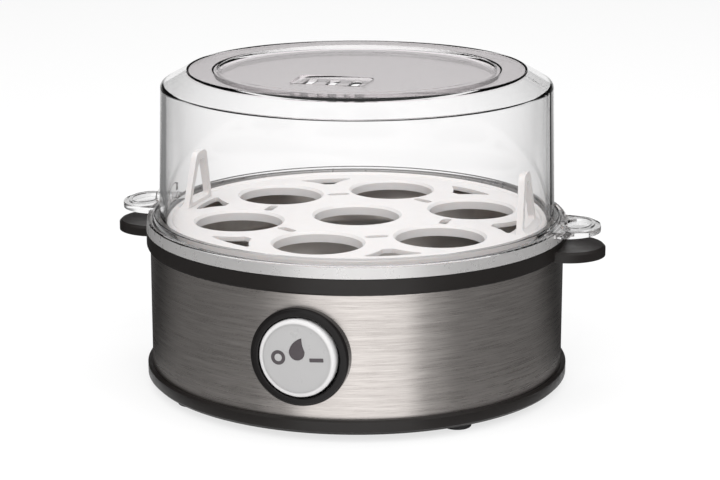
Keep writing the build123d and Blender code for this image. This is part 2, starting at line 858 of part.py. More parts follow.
# Cord inlet bushing: flanges inside and outside the sleeve, and a short snout.
# It stands out at the rear as far as the button does at the front.
inlet_plane = Plane((0, 0, inlet_z), x_dir=(-1, 0, 0), z_dir=(0, 1, 0))
inlet_reach = -rocker_button.part.bounding_box().min.Y
with BuildPart() as cord_inlet:
    with BuildSketch(inlet_plane.offset(sleeve_in_r - inlet_inner_depth)):
        Circle(inlet_flange_r)
    extrude(amount=inlet_inner_depth + sleeve_wall + inlet_flange)
    with BuildSketch(Plane.XY):
        Circle(casing_r)
        Circle(sleeve_in_r, mode=Mode.SUBTRACT)
    extrude(amount=rim_z, mode=Mode.SUBTRACT)
    with BuildSketch(inlet_plane.offset(sleeve_in_r - inlet_inner_depth)):
        Circle(inlet_neck_r)
    extrude(amount=inlet_inner_depth + sleeve_wall + inlet_flange)
    with BuildSketch(inlet_plane.offset(casing_r + inlet_flange)):
        Circle(inlet_snout_r)
    extrude(amount=inlet_reach - casing_r - inlet_flange, taper=inlet_taper)
    with BuildSketch(inlet_plane.offset(sleeve_in_r - inlet_inner_depth)):
        Circle(inlet_bore_r)
    extrude(amount=inlet_reach - sleeve_in_r + inlet_inner_depth, mode=Mode.SUBTRACT)
cord_inlet.part.label = "cord_inlet"
export_step(cord_inlet.part, "parts/cord_inlet.step")

# Terminal block on the pan floor, with three entries and three screw wells
block_low_z = pan_z + pan_floor
with BuildPart() as terminal_block:
    with BuildSketch(Plane.XY.offset(block_low_z)):
        with Locations((0, block_place_y)):
            Rectangle(block_x, block_y)
    extrude(amount=block_z)
    fillet(terminal_block.edges().filter_by(Axis.Z), block_round)
    with BuildSketch(Plane.XY.offset(block_low_z + block_z)):
        with Locations((0, block_place_y)):
            with GridLocations(block_pitch, 0, 3, 1):
                Circle(block_screw_r + nest_gap)
    extrude(amount=-block_well, mode=Mode.SUBTRACT)
terminal_block.part.label = "terminal_block"
export_step(terminal_block.part, "parts/terminal_block.step")

# Three screws in the block's wells
with BuildPart() as terminal_screws:
    with BuildSketch(Plane.XY.offset(block_low_z + block_z - block_well)):
        with Locations((0, block_place_y)):
            with GridLocations(block_pitch, 0, 3, 1):
                Circle(block_screw_r)
    extrude(amount=block_screw_height)
terminal_screws.part.label = "terminal_screws"
export_step(terminal_screws.part, "parts/terminal_screws.step")

# Internal leads, each from the face of one terminal to the face of the next
block_front_y = block_place_y - block_y / 2
entry_z = block_low_z + block_entry_z
blade_end_y = -(bezel_neck_back - switch_flange - switch_depth - blade_length)
pin_end_z = element_z - element_tube_r - element_pin_drop
thermostat_end_y = thermostat_body_r + thermostat_tag
thermostat_tag_z = thermostat_low_z + blade_sheet / 2
lead_live = lead_along(
    [
        (-blade_pitch, block_front_y, entry_z),
        (-blade_pitch, block_front_y - lead_live_run, entry_z),
        (-blade_pitch, blade_end_y + lead_live_end, switch_z),
        (-blade_pitch, blade_end_y, switch_z),
    ],
    lead_bend,
)
lead_live.part.label = "lead_live"
export_step(lead_live.part, "parts/lead_live.step")

lead_switched = lead_along(
    [
        (blade_pitch, blade_end_y, switch_z),
        (blade_pitch, blade_end_y + lead_switched_run, switch_z),
        (0, -thermostat_end_y - lead_switched_end, thermostat_tag_z),
        (0, -thermostat_end_y, thermostat_tag_z),
    ],
    lead_bend,
)
lead_switched.part.label = "lead_switched"
export_step(lead_switched.part, "parts/lead_switched.step")

neutral_x, neutral_y = element_ends[1]
lead_neutral = lead_along(
    [
        (blade_pitch, block_front_y, entry_z),
        (blade_pitch, neutral_y, entry_z),
        (neutral_x, neutral_y, entry_z),
        (neutral_x, neutral_y, pin_end_z),
    ],
    lead_bend_tight,
)
lead_neutral.part.label = "lead_neutral"
export_step(lead_neutral.part, "parts/lead_neutral.step")

heater_x, heater_y = element_ends[0]
lead_heater = lead_along(
    [
        (0, thermostat_end_y, thermostat_tag_z),
        (0, thermostat_end_y + lead_heater_run, thermostat_tag_z),
        (heater_x, heater_y - lead_heater_side, pin_end_z - lead_heater_drop),
        (heater_x, heater_y, pin_end_z - lead_heater_drop),
        (heater_x, heater_y, pin_end_z),
    ],
    lead_bend_hook,
)
lead_heater.part.label = "lead_heater"
export_step(lead_heater.part, "parts/lead_heater.step")

earth_low_z = spreader_z - tag_length
earth_y = tag_place_y + (tag_width + tag_sheet) / 2
lead_earth = lead_along(
    [
        (0, block_front_y, entry_z),
        (0, earth_y, entry_z),
        (0, earth_y, earth_low_z),
    ],
    lead_bend,
)
lead_earth.part.label = "lead_earth"
export_step(lead_earth.part, "parts/lead_earth.step")

# Steam slot between two outer egg holes: bounded by the rim and by both holes' lands
half_step = pi / ring_holes
land_r = egg_hole_r + steam_slot_land
land_x = egg_ring_r * cos(half_step)
land_y = egg_ring_r * sin(half_step)
with BuildSketch() as steam_slot:
    Circle(steam_slot_outer_r)
    with Locations((steam_slot_inner - steam_slot_outer_r, 0)):
        Rectangle(2 * steam_slot_outer_r, 2 * steam_slot_outer_r, mode=Mode.SUBTRACT)
    with Locations((land_x, land_y), (land_x, -land_y)):
        Circle(land_r, mode=Mode.SUBTRACT)
    fillet(steam_slot.vertices(), steam_slot_round)

# Lifting loop of the tray, drawn at +X with the plate's top at z = 0: a leaning frame on curved feet
loop_plane = Plane(
    (loop_x, 0, 0),
    x_dir=(0, 1, 0),
    z_dir=(cos(radians(loop_lean)), 0, sin(radians(loop_lean))),
)
with BuildSketch() as loop_frame:
    with BuildLine():
        Polyline(
            (-loop_half, -tray_plate / 2),
            (loop_half, -tray_plate / 2),
            (loop_top_half, loop_height),
            (-loop_top_half, loop_height),
            close=True,
        )
    outer_loop = make_face()
    fillet(outer_loop.vertices().group_by(Axis.Y)[-1], loop_round)
    with BuildSketch(mode=Mode.SUBTRACT) as loop_window:
        with BuildLine():
            Polyline(
                (-loop_window_half, loop_window_low),
                (loop_window_half, loop_window_low),
                (loop_window_top_half, loop_window_top),
                (-loop_window_top_half, loop_window_top),
                close=True,
            )
        make_face()
        fillet(loop_window.vertices(), loop_window_round)
with BuildPart() as loop:
    with BuildSketch(Plane.XZ):
        with BuildLine():
            foot_out = (loop_x + loop_foot_reach, 0)
            foot_up = (loop_x, loop_foot_height)
            Line(foot_up, (loop_x, -tray_plate / 2))
            Line((loop_x, -tray_plate / 2), (loop_x + loop_foot_reach, -tray_plate / 2))
            Line((loop_x + loop_foot_reach, -tray_plate / 2), foot_out)
            Spline(foot_out, foot_up, tangents=((-1, 0), (0, 1)))
        make_face()
    extrude(amount=loop_half, both=True)
    with BuildSketch(loop_plane):
        add(loop_frame.sketch)
    extrude(amount=loop_foot_reach + loop_thick, both=True, mode=Mode.INTERSECT)
    with BuildSketch(loop_plane):
        add(loop_frame.sketch)
    extrude(amount=loop_thick / 2, both=True)

# Egg tray: plate with a raised rim and a skirt, collared egg holes, steam slots, lifting loops.
# It lies loose in the base and sits turned by tray_turn, clockwise from above.
tray_plane = Plane.XY.offset(tray_top_z).rotated((0, 0, -tray_turn))
with BuildPart() as egg_tray:
    revolve(
        half_section(
            [
                (0, plate_z),
                (tray_r - tray_skirt, plate_z),
                (tray_r - tray_skirt, tray_low_z),
                (tray_r, tray_low_z),
                (tray_r, tray_top_z + tray_rim_height),
                (tray_r - tray_rim_width, tray_top_z + tray_rim_height),
                (tray_r - tray_rim_width - tray_rim_height, tray_top_z),
                (0, tray_top_z),
            ],
            rounding=((4, tray_rim_width / 3), (5, tray_rim_width / 3)),
        ),
        axis=Axis.Z,
    )
    with BuildSketch(tray_plane.offset(-tray_plate)):
        with Locations(*egg_spots):
            Circle(egg_hole_r + collar_wall)
    extrude(amount=-collar_drop)
    with BuildSketch(tray_plane):
        with Locations(*egg_spots):
            Circle(egg_hole_r)
    extrude(amount=-(tray_plate + collar_drop), mode=Mode.SUBTRACT)
    with BuildSketch(tray_plane):
        with Locations(*egg_spots):
            Circle(egg_hole_r + egg_chamfer)
    extrude(amount=-egg_chamfer, taper=45, mode=Mode.SUBTRACT)
    with BuildSketch(tray_plane):
        for k in range(ring_holes):
            add(steam_slot.sketch, rotation=360 * k / ring_holes)
        with PolarLocations(small_slot_place_r, ring_holes):
            SlotOverall(small_slot_length, small_slot_width, rotation=90)
    extrude(amount=-tray_plate, mode=Mode.SUBTRACT)
    for turn in (0, 180):
        add(tray_plane.location * Rot(0, 0, turn) * loop.part)
egg_tray.part.label = "egg_tray"
export_step(egg_tray.part, "parts/egg_tray.step")

# Clear lid: turned shell with a recessed disc, stepped flange and skirt, thumb tabs, vents
with BuildPart() as lid:
    for side in (1, -1):
        with BuildSketch(Plane.XY.offset(lid_under_z)):
            with Locations((side * (lid_tab_reach - lid_tab_r), 0)):
                Circle(lid_tab_r)
        extrude(amount=lid_tab_thick)
    with BuildSketch(Plane.XY.offset(lid_under_z)):
        Circle(lid_wall_r)
    extrude(amount=lid_tab_thick, mode=Mode.SUBTRACT)
    revolve(
        half_section(
            [
                (0, lid_disc_z),
                (lid_disc_r - lid_disc_draft, lid_disc_z),
                (lid_disc_r, lid_top_z),
                (lid_top_r, lid_top_z),
                (lid_shoulder_r, lid_shoulder_z),
                (lid_wall_r, lid_step_z),
                (lid_wall_r + lid_step_width, lid_step_z),
                (lid_wall_r + lid_step_width + lid_step / 3, lid_flange_z),
                (rim_r - lid_skirt_draft, lid_flange_z),
                (rim_r, ledge_z + seat_gap),
                (rim_r - lid_skirt, ledge_z + seat_gap),
                (rim_r - lid_skirt, lid_under_z),
                (lid_in_r, lid_under_z),
                (lid_shoulder_r - lid_wall, lid_shoulder_z - lid_wall / 2),
                (lid_top_r - lid_wall / 3, lid_top_z - lid_wall),
                (lid_disc_r + lid_wall, lid_top_z - lid_wall),
                (lid_disc_r + lid_wall - lid_disc_draft, lid_disc_z - lid_wall),
                (0, lid_disc_z - lid_wall),
            ],
            rounding=(
                (4, lid_crown_round),
                (3, lid_edge_round),
                (2, lid_disc_round),
                (8, lid_flange_round),
                (6, lid_step_round),
            ),
        ),
        axis=Axis.Z,
    )
    for side in (1, -1):
        with BuildSketch(Plane.XY.offset(lid_under_z + lid_tab_thick)):
            with Locations((side * thumb_place, 0)):
                Ellipse(thumb_x + thumb_lip, thumb_y + thumb_lip)
        extrude(amount=thumb_lip_rise)
        with BuildSketch(Plane.XY.offset(lid_under_z + lid_tab_thick + thumb_lip_rise)):
            with Locations((side * thumb_place, 0)):
                Ellipse(thumb_x, thumb_y)
        extrude(amount=-thumb_depth - thumb_lip_rise, mode=Mode.SUBTRACT)
        gusset_x = side * (lid_wall_r - lid_wall / 2)
        gusset_z = lid_under_z + lid_tab_thick
        with BuildSketch(Plane.XZ):
            with BuildLine():
                Polyline(
                    (gusset_x, gusset_z - lid_wall / 2),
                    (gusset_x + side * (gusset_length - gusset_toe), gusset_z - lid_wall / 2),
                    (gusset_x + side * gusset_length, gusset_z),
                    (gusset_x + side * (gusset_top + gusset_slope), gusset_z + gusset_height - gusset_slope),
                    (gusset_x + side * gusset_top, gusset_z + gusset_height),
                    (gusset_x, gusset_z + gusset_height),
                    close=True,
                )
            make_face()
        extrude(amount=gusset_thick / 2, both=True)
    with BuildSketch(Plane.XY.offset(lid_disc_z)):
        with Locations((vent_place_x, vent_place_y)):
            RectangleRounded(vent_pocket_x, vent_pocket_y, vent_pocket_round)
    extrude(amount=-vent_pocket_depth, mode=Mode.SUBTRACT)
    with BuildSketch(Plane.XY.offset(lid_disc_z)):
        with Locations((vent_place_x, vent_place_y)):
            with GridLocations(vent_pitch, 0, vent_count, 1):
                SlotOverall(vent_length, vent_width, rotation=90)
    extrude(amount=-lid_wall, mode=Mode.SUBTRACT)
lid.part.label = "lid"
export_step(lid.part, "parts/lid.step")
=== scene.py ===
# Studio picture of a round electric egg cooker.
# Everything is in metres, +Z up; the front with the switch faces -Y.
import json
import math

import bmesh
import bpy
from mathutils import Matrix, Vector

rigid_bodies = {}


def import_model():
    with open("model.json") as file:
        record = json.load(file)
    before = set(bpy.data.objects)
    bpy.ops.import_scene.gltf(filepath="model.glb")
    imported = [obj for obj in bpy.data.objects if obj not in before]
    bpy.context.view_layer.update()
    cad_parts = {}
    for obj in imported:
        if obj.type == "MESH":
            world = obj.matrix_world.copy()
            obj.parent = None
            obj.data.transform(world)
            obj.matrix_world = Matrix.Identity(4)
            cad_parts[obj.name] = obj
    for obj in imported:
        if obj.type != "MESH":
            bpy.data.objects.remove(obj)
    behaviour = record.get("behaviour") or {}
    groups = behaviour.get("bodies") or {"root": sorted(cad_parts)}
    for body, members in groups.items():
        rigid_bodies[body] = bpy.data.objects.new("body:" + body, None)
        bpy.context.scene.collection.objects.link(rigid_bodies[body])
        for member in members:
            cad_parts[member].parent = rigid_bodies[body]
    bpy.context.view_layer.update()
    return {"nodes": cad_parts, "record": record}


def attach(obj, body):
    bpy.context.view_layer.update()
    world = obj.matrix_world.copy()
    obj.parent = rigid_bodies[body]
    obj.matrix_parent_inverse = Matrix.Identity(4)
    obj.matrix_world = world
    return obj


for stray in list(bpy.data.objects):
    bpy.data.objects.remove(stray)

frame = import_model()

MM = 0.001

# Camera: azimuth and elevation in degrees, distance from the point it was fitted to
CAMERA_AZIMUTH = 14.5
CAMERA_ELEVATION = 13.89
CAMERA_DISTANCE = 0.8739
CAMERA_TARGET = (0.0, 0.0, 0.0629)
CAMERA_LENS = 108.4
CAMERA_SHIFT = (0.0043, -0.0212)

# Rocker switch: pivot, tilt to the off side, and how far its dished face stands from the pivot
PIVOT = Vector((0.0, -0.081, 0.0328))
ROCKER_TILT = math.radians(4.0)
FACE_DEPTH = 6.05 * MM

# Painted highlight on the rocker's rolled edge: the radius where it starts and where it is fully
# pale, and how far the tilt moves the middle of the face to the side
BUTTON_HIGHLIGHT_RADII = (13.1 * MM, 13.8 * MM)
BUTTON_SHIFT = FACE_DEPTH * math.sin(ROCKER_TILT)

# Off mark and on mark on the rocker's face: thickness, centre, radii, half width and half height
MARK_THICK = 0.07 * MM
OFF_MARK_CENTRE = (-7.3 * MM, -0.2 * MM)
OFF_MARK_OUTER = 2.8 * MM
OFF_MARK_INNER = 1.45 * MM
ON_MARK_CENTRE = (7.7 * MM, 0.1 * MM)
ON_MARK_HALF = (2.75 * MM, 0.75 * MM)
ON_MARK_TURN = math.radians(5.0)

# Sockets of Blender's Mix node for colours: factor, both colours, and the result
MIX_INPUTS = (0, 6, 7)
MIX_RESULT = 2


def placed(name, data):
    """New object in the scene."""
    made = bpy.data.objects.new(name, data)
    bpy.context.scene.collection.objects.link(made)
    return made


# Node helpers


class Finish:
    """A Principled material whose patterns follow the object's own coordinates in metres."""

    def __init__(self, name, colour, rough, **plain):
        self.material = bpy.data.materials.new(name)
        self.material.use_nodes = True
        self.tree = self.material.node_tree
        self.shader = self.tree.nodes["Principled BSDF"]
        self.output = self.tree.nodes["Material Output"]
        self.set("Base Color", (*colour, 1.0))
        self.set("Roughness", rough)
        for key, value in plain.items():
            self.set(key.replace("_", " "), value)
        self.colour = colour

    def set(self, socket, value):
        self.shader.inputs[socket].default_value = value

    def node(self, kind, **settings):
        made = self.tree.nodes.new(kind)
        for key, value in settings.items():
            setattr(made, key, value)
        return made

    def link(self, a, b):
        self.tree.links.new(a, b)

    def feed(self, value, socket):
        """Link a socket to another node's output, or give it a number or a colour."""
        if isinstance(value, bpy.types.NodeSocket):
            self.link(value, socket)
        else:
            socket.default_value = (*value, 1.0) if isinstance(value, tuple) else value

    def place(self):
        return self.node("ShaderNodeTexCoord").outputs["Object"]

    def noise(self, scale, detail=3.0, rough=0.55, distortion=0.0, offset=(0.0, 0.0, 0.0)):
        mapping = self.node("ShaderNodeMapping")
        mapping.inputs["Scale"].default_value = scale if isinstance(scale, tuple) else (scale,) * 3
        mapping.inputs["Location"].default_value = offset
        self.link(self.place(), mapping.inputs["Vector"])
        made = self.node("ShaderNodeTexNoise")
        made.inputs["Scale"].default_value = 1.0
        made.inputs["Detail"].default_value = detail
        made.inputs["Roughness"].default_value = rough
        made.inputs["Distortion"].default_value = distortion
        self.link(mapping.outputs["Vector"], made.inputs["Vector"])
        return made.outputs["Fac"]

    def spread(self, value, low, high, from_low=0.3, from_high=0.7):
        """Stretch a value from its own range to the range low to high."""
        made = self.node("ShaderNodeMapRange")
        limits = {"From Min": from_low, "From Max": from_high, "To Min": low, "To Max": high}
        for key, number in limits.items():
            made.inputs[key].default_value = number
        self.link(value, made.inputs["Value"])
        return made.outputs["Result"]

    def math(self, operation, a, b):
        made = self.node("ShaderNodeMath", operation=operation)
        for socket, value in zip(made.inputs, (a, b)):
            self.feed(value, socket)
        return made.outputs[0]

    def tint(self, value, dark, light):
        """Mix two colours by a value from 0 to 1; each may be a colour or a node's output."""
        made = self.node("ShaderNodeMix", data_type="RGBA")
        for index, part in zip(MIX_INPUTS, (value, dark, light)):
            self.feed(part, made.inputs[index])
        return made.outputs[MIX_RESULT]

    def vary_colour(self, value, amount):
        dark = tuple(c * (1 - amount) for c in self.colour)
        light = tuple(min(1.0, c * (1 + amount)) for c in self.colour)
        self.link(self.tint(value, dark, light), self.shader.inputs["Base Color"])

    def vary_rough(self, value, low, high):
        self.link(self.spread(value, low, high), self.shader.inputs["Roughness"])

    def bump(self, value, strength, depth):
        made = self.node("ShaderNodeBump")
        made.inputs["Strength"].default_value = strength
        made.inputs["Distance"].default_value = depth
        self.link(value, made.inputs["Height"])
        self.link(made.outputs["Normal"], self.shader.inputs["Normal"])


def moulded(name, colour, rough, grain=900.0, vary=0.06, depth=0.02 * MM, **plain):
    """Moulded plastic or rubber: fine grain, faint mottling and uneven sheen."""
    made = Finish(name, colour, rough, **plain)
    mottle = made.noise(60.0, detail=2.0)
    made.vary_colour(mottle, vary)
    made.vary_rough(made.noise(220.0, detail=4.0), rough * 0.85, rough * 1.18)
    made.bump(made.noise(grain, detail=2.0), 0.35, depth)
    return made


def metal(name, colour, rough, scale, vary=0.12, depth=0.01 * MM):
    """Bare metal with marks at the given scale."""
    made = Finish(name, colour, rough, Metallic=1.0)
    marks = made.noise(scale, detail=5.0, rough=0.6)
    made.vary_colour(made.spread(marks, 0.0, 1.0), vary)
    made.vary_rough(marks, rough * 0.75, rough * 1.3)
    made.bump(marks, 0.25, depth)
    return made


# Finishes, one for each material slot

finishes = {
    "foot_rubber": moulded("foot_rubber", (0.022, 0.021, 0.022), 0.72, vary=0.15),
    "inlet_rubber": moulded("inlet_rubber", (0.022, 0.021, 0.022), 0.6, vary=0.12),
    "silicone": moulded("silicone", (0.7, 0.69, 0.66), 0.5),
    "thermostat_plastic": moulded("thermostat_plastic", (0.05, 0.035, 0.025), 0.5, vary=0.2),
    "switch_plastic": moulded("switch_plastic", (0.03, 0.03, 0.032), 0.5),
    "block_plastic": moulded("block_plastic", (0.72, 0.72, 0.68), 0.42),
    "lead_brown": moulded("lead_brown", (0.16, 0.06, 0.025), 0.35, depth=0.01 * MM),
    "lead_black": moulded("lead_black", (0.02, 0.02, 0.021), 0.35, depth=0.01 * MM),
    "lead_blue": moulded("lead_blue", (0.02, 0.09, 0.4), 0.35, depth=0.01 * MM),
    "lead_green": moulded("lead_green", (0.25, 0.45, 0.04), 0.35, depth=0.01 * MM),
    "screw_steel": metal("screw_steel", (0.66, 0.66, 0.64), 0.3, 900.0),
    "fuse_steel": metal("fuse_steel", (0.62, 0.61, 0.58), 0.28, 700.0),
    "terminal_brass": metal("terminal_brass", (0.74, 0.55, 0.26), 0.3, 800.0),
    "spreader_aluminium": metal("spreader_aluminium", (0.7, 0.7, 0.71), 0.42, 350.0),
    "element_steel": metal("element_steel", (0.27, 0.25, 0.24), 0.45, 300.0, vary=0.3),
}

# Black plastic of the housing and the upper rim: charcoal, half gloss, finely grained
finishes["black_plastic"] = moulded(
    "black_plastic",
    (0.0115, 0.0096, 0.0088),
    0.34,
    grain=2600.0,
    vary=0.12,
    depth=0.012 * MM,
    Specular_IOR_Level=0.33,
)

# Brushed sleeve: long soft waves crossed by fine short streaks that run round the drum
SLEEVE_DARK = (0.46, 0.425, 0.405)
SLEEVE_LIGHT = (0.74, 0.695, 0.665)
WAVE_SHARE = 0.4
sleeve = Finish(
    "brushed_sleeve",
    (0.6, 0.585, 0.565),
    0.3,
    Metallic=1.0,
    Anisotropic=0.7,
    Anisotropic_Rotation=0.25,
)
around = sleeve.node("ShaderNodeTangent", direction_type="RADIAL", axis="Z")
sleeve.link(around.outputs["Tangent"], sleeve.shader.inputs["Tangent"])
waves = sleeve.noise((32.0, 32.0, 900.0), detail=4.0, rough=0.6, distortion=0.2)
streaks = sleeve.noise((85.0, 85.0, 4200.0), detail=3.0, rough=0.7)
both = sleeve.math(
    "ADD",
    sleeve.math("MULTIPLY", waves, WAVE_SHARE),
    sleeve.math("MULTIPLY", streaks, 1.0 - WAVE_SHARE),
)
sleeve.link(
    sleeve.tint(sleeve.spread(both, 0.0, 1.0, 0.36, 0.64), SLEEVE_DARK, SLEEVE_LIGHT),
    sleeve.shader.inputs["Base Color"],
)
sleeve.vary_rough(both, 0.2, 0.42)
sleeve.bump(both, 0.3, 0.02 * MM)
finishes["brushed_sleeve"] = sleeve

# Heating dish: satin pressed steel with turning marks and water marks on its floor
dish = Finish("dish_steel", (0.42, 0.39, 0.36), 0.38, Metallic=1.0)
stains = dish.noise(45.0, detail=6.0, rough=0.6, distortion=1.2)
dish.link(
    dish.tint(dish.spread(stains, 0.0, 1.0), (0.33, 0.3, 0.27), (0.5, 0.47, 0.44)),
    dish.shader.inputs["Base Color"],
)
dish.vary_rough(stains, 0.3, 0.5)
dish.bump(dish.noise(500.0, detail=4.0), 0.2, 0.01 * MM)
finishes["dish_steel"] = dish

# Gloss black bezel
bezel = Finish("bezel_gloss", (0.008, 0.007, 0.007), 0.09, Specular_IOR_Level=0.22)
bezel.vary_rough(bezel.noise(160.0, detail=3.0), 0.07, 0.13)
bezel.bump(bezel.noise(90.0, detail=2.0), 0.12, 0.02 * MM)
finishes["bezel_gloss"] = bezel

# Light grey satin rocker whose rolled edge is painted paler as a painted highlight
BUTTON_EDGE_HIGHLIGHT = (0.62, 0.61, 0.61)
rocker = moulded(
    "button_grey", (0.4, 0.395, 0.395), 0.3, grain=1800.0, vary=0.025, depth=0.008 * MM
)
mottled = rocker.shader.inputs["Base Color"].links[0].from_socket
centred = rocker.node("ShaderNodeMapping", vector_type="POINT")
centred.inputs["Location"].default_value = (BUTTON_SHIFT, 0.0, -PIVOT.z)
centred.inputs["Scale"].default_value = (1.0, 0.0, 1.0)
rocker.link(rocker.place(), centred.inputs["Vector"])
from_middle = rocker.node("ShaderNodeVectorMath", operation="LENGTH")
rocker.link(centred.outputs["Vector"], from_middle.inputs[0])
painted_edge_highlight = rocker.spread(from_middle.outputs["Value"], 0.0, 1.0, *BUTTON_HIGHLIGHT_RADII)
# The rim is painted paler than the face. This is a painted highlight, not the plastic's own
# colour.
rocker.link(
    rocker.tint(painted_edge_highlight, mottled, BUTTON_EDGE_HIGHLIGHT),
    rocker.shader.inputs["Base Color"],
)
finishes["button_grey"] = rocker

# Smoked drop window
lens = Finish("lens_smoke", (0.055, 0.045, 0.05), 0.14, Coat_Weight=0.6, Coat_Roughness=0.08)
lens.vary_colour(lens.noise(700.0, detail=2.0), 0.2)
lens.vary_rough(lens.noise(300.0), 0.1, 0.2)
finishes["lens_smoke"] = lens

# Milky white tray, slightly translucent
tray = Finish(
    "tray_white",
    (0.72, 0.7, 0.69),
    0.36,
    Subsurface_Weight=0.2,
    Subsurface_Radius=(0.004, 0.003, 0.0025),
    Subsurface_Scale=1.0,
)
tray.vary_colour(tray.noise(38.0, detail=3.0), 0.025)
tray.vary_rough(tray.noise(260.0, detail=3.0), 0.3, 0.44)
tray.bump(tray.noise(1500.0, detail=2.0), 0.25, 0.012 * MM)
finishes["tray_white"] = tray


def clear_plastic(name, colour, rough, ior, let_through):
    """Clear moulded plastic that lets lamps and soft light pass to what it covers."""
    made = Finish(name, colour, rough, IOR=ior, Transmission_Weight=1.0)
    ray = made.node("ShaderNodeLightPath")
    passing = made.math("MAXIMUM", ray.outputs["Is Shadow Ray"], ray.outputs["Is Diffuse Ray"])
    through = made.node("ShaderNodeBsdfTransparent")
    through.inputs["Color"].default_value = (*let_through, 1.0)
    made.clear = made.node("ShaderNodeMixShader")
    made.link(passing, made.clear.inputs[0])
    made.link(made.shader.outputs[0], made.clear.inputs[1])
    made.link(through.outputs[0], made.clear.inputs[2])
    made.link(made.clear.outputs[0], made.output.inputs["Surface"])
    return made


# Clear lid, as it looks in the photograph: a flat crown that is faintly smoked, and a silvery
# satin skirt below its flange. Its index is set low, which keeps the tray plain behind it.
LID_INDEX = 1.34
LID_CLEAR = (0.995, 0.992, 0.993)
LID_SMOKED = (0.89, 0.855, 0.865)
LID_LETS_THROUGH = (0.97, 0.966, 0.968)
SKIRT_COLOUR = (0.58, 0.57, 0.565)
SKIRT_METALLIC = 0.55
CROWN_Z = 122.8 * MM
CROWN_R = 67.3 * MM
SKIRT_INNER_R = 82.4 * MM
SKIRT_OUTER_R = 84.7 * MM
SKIRT_TOP_Z = 67.4 * MM
lid = clear_plastic("lid_clear", LID_CLEAR, 0.0, LID_INDEX, LID_LETS_THROUGH)
lid.vary_rough(lid.noise(70.0, detail=4.0), 0.0, 0.02)
lid.bump(lid.noise(26.0, detail=2.0), 0.08, 0.03 * MM)
satin = lid.node("ShaderNodeBsdfPrincipled")
satin.inputs["Base Color"].default_value = (*SKIRT_COLOUR, 1.0)
satin.inputs["Metallic"].default_value = SKIRT_METALLIC
lid.link(lid.spread(lid.noise(240.0, detail=4.0), 0.24, 0.36), satin.inputs["Roughness"])
spot = lid.node("ShaderNodeSeparateXYZ")
lid.link(lid.place(), spot.inputs[0])
flat = lid.node("ShaderNodeCombineXYZ")
lid.link(spot.outputs["X"], flat.inputs["X"])
lid.link(spot.outputs["Y"], flat.inputs["Y"])
reach = lid.node("ShaderNodeVectorMath", operation="LENGTH")
lid.link(flat.outputs[0], reach.inputs[0])
high_up = lid.math("GREATER_THAN", spot.outputs["Z"], CROWN_Z)
inside = lid.math("LESS_THAN", reach.outputs["Value"], CROWN_R)
crown = lid.math("MULTIPLY", high_up, inside)
lid.link(lid.tint(crown, LID_CLEAR, LID_SMOKED), lid.shader.inputs["Base Color"])
outside = lid.math("GREATER_THAN", reach.outputs["Value"], SKIRT_INNER_R)
below = lid.math("LESS_THAN", spot.outputs["Z"], SKIRT_TOP_Z)
near = lid.math("LESS_THAN", reach.outputs["Value"], SKIRT_OUTER_R)
skirt = lid.math("MULTIPLY", lid.math("MULTIPLY", outside, below), near)
dressed = lid.node("ShaderNodeMixShader")
lid.link(skirt, dressed.inputs[0])
lid.link(lid.clear.outputs[0], dressed.inputs[1])
lid.link(satin.outputs[0], dressed.inputs[2])
lid.link(dressed.outputs[0], lid.output.inputs["Surface"])
finishes["lid_clear"] = lid
lamp = clear_plastic("lamp_glass", (0.95, 0.72, 0.5), 0.05, 1.5, (0.9, 0.7, 0.5))
lamp.bump(lamp.noise(600.0), 0.2, 0.02 * MM)
finishes["lamp_glass"] = lamp

for entry in frame["record"]["subparts"]:
    node = frame["nodes"][entry["node"]]
    node.data.materials.clear()
    node.data.materials.append(finishes[entry["material_slot"]].material)


# Marks on the rocker

ink = moulded("mark_ink", (0.065, 0.055, 0.06), 0.45, grain=2500.0, vary=0.1, depth=0.006 * MM)
across = Vector((math.cos(ROCKER_TILT), -math.sin(ROCKER_TILT), 0.0))
outward = Vector((-math.sin(ROCKER_TILT), -math.cos(ROCKER_TILT), 0.0))
upward = Vector((0.0, 0.0, 1.0))


def on_face(u, v, lift):
    """Point on the rocker's dished face: u to the right, v up, lift out of the face."""
    return PIVOT + across * u + upward * v + outward * (FACE_DEPTH + lift)


def raised(made, points):
    """Vertices of an outline: a row sunk into the face and a row standing out of it."""
    return [
        [made.verts.new(on_face(u, v, lift)) for u, v in points]
        for lift in (-MARK_THICK / 2, MARK_THICK / 2)
    ]


def printed(name, outer, inner=None):
    """Thin raised mark on the rocker's face from its outline and, if it has one, its hole."""
    made = bmesh.new()
    sunk, proud = raised(made, outer)
    pairs = [(i, (i + 1) % len(outer)) for i in range(len(outer))]
    for i, j in pairs:
        made.faces.new((sunk[i], sunk[j], proud[j], proud[i]))
    if inner:
        hole_sunk, hole_proud = raised(made, inner)
        for i, j in pairs:
            made.faces.new((hole_sunk[j], hole_sunk[i], hole_proud[i], hole_proud[j]))
            made.faces.new((proud[i], proud[j], hole_proud[j], hole_proud[i]))
            made.faces.new((sunk[j], sunk[i], hole_sunk[i], hole_sunk[j]))
    else:
        made.faces.new(proud)
        made.faces.new(list(reversed(sunk)))
    bmesh.ops.recalc_face_normals(made, faces=made.faces)
    mesh = bpy.data.meshes.new(name)
    made.to_mesh(mesh)
    made.free()
    mesh.materials.append(ink.material)
    piece = placed(name, mesh)
    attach(piece, "rocker")


def circle_points(centre, radius, count=72):
    """Points round a circle."""
    turns = [2 * math.pi * i / count for i in range(count)]
    return [(centre[0] + radius * math.cos(t), centre[1] + radius * math.sin(t)) for t in turns]


